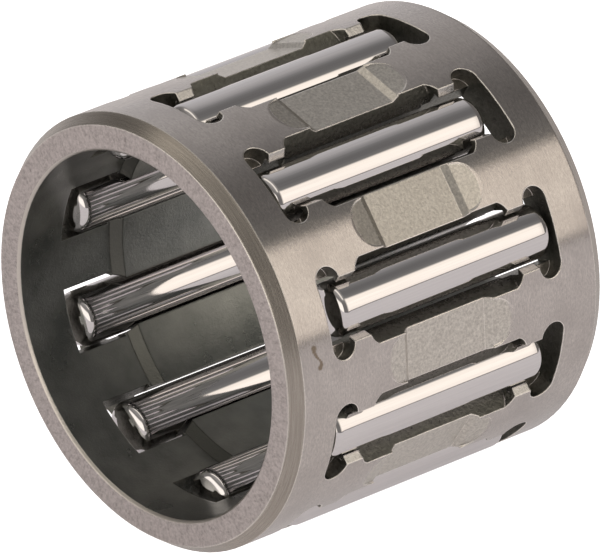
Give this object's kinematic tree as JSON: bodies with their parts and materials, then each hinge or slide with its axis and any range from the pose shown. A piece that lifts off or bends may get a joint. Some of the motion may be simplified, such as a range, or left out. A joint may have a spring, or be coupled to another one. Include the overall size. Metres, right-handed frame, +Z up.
{
  "type": "needle roller and cage assembly",
  "caption": "One-piece steel cage with windowed pockets that carries a ring of loose cylindrical needle rollers, for a plain shaft and a plain housing bore.",
  "frame": {"origin": "centre of the bore, midway between the cage's two end faces", "axes": "+Y along the bearing's axis, +Z up with the bearing lying on its side, +X to the side"},
  "size_m": [0.0198, 0.0178, 0.0198],
  "materials": {
    "cage_steel": "fine turned and ground, satin",
    "roller_steel": "ground and polished"
  },
  "bodies": {
    "cage": {"cage": "cage_steel"},
    "roller_01": {"roller_01": "roller_steel"},
    "roller_02": {"roller_02": "roller_steel"},
    "roller_03": {"roller_03": "roller_steel"},
    "roller_04": {"roller_04": "roller_steel"},
    "roller_05": {"roller_05": "roller_steel"},
    "roller_06": {"roller_06": "roller_steel"},
    "roller_07": {"roller_07": "roller_steel"},
    "roller_08": {"roller_08": "roller_steel"},
    "roller_09": {"roller_09": "roller_steel"},
    "roller_10": {"roller_10": "roller_steel"}
  },
  "joints": [
    {"name": "roller_01_spin", "type": "hinge", "parent": "cage", "child": "roller_01", "pos_m": [0.00817, 0, 0.00314], "axis": [0, 1, 0], "continuous": true},
    {"name": "roller_02_spin", "type": "hinge", "parent": "cage", "child": "roller_02", "pos_m": [0.00477, 0, 0.00722], "axis": [0, 1, 0], "continuous": true},
    {"name": "roller_03_spin", "type": "hinge", "parent": "cage", "child": "roller_03", "pos_m": [-0.00046, 0, 0.00862], "axis": [0, 1, 0], "continuous": true},
    {"name": "roller_04_spin", "type": "hinge", "parent": "cage", "child": "roller_04", "pos_m": [-0.00551, 0, 0.00668], "axis": [0, 1, 0], "continuous": true},
    {"name": "roller_05_spin", "type": "hinge", "parent": "cage", "child": "roller_05", "pos_m": [-0.00845, 0, 0.00216], "axis": [0, 1, 0], "continuous": true},
    {"name": "roller_06_spin", "type": "hinge", "parent": "cage", "child": "roller_06", "pos_m": [-0.00817, 0, -0.00324], "axis": [0, 1, 0], "continuous": true},
    {"name": "roller_07_spin", "type": "hinge", "parent": "cage", "child": "roller_07", "pos_m": [-0.00477, 0, -0.00734], "axis": [0, 1, 0], "continuous": true},
    {"name": "roller_08_spin", "type": "hinge", "parent": "cage", "child": "roller_08", "pos_m": [0.00046, 0, -0.00868], "axis": [0, 1, 0], "continuous": true},
    {"name": "roller_09_spin", "type": "hinge", "parent": "cage", "child": "roller_09", "pos_m": [0.00551, 0, -0.0068], "axis": [0, 1, 0], "continuous": true},
    {"name": "roller_10_spin", "type": "hinge", "parent": "cage", "child": "roller_10", "pos_m": [0.00845, 0, -0.00226], "axis": [0, 1, 0], "continuous": true}
  ]
}
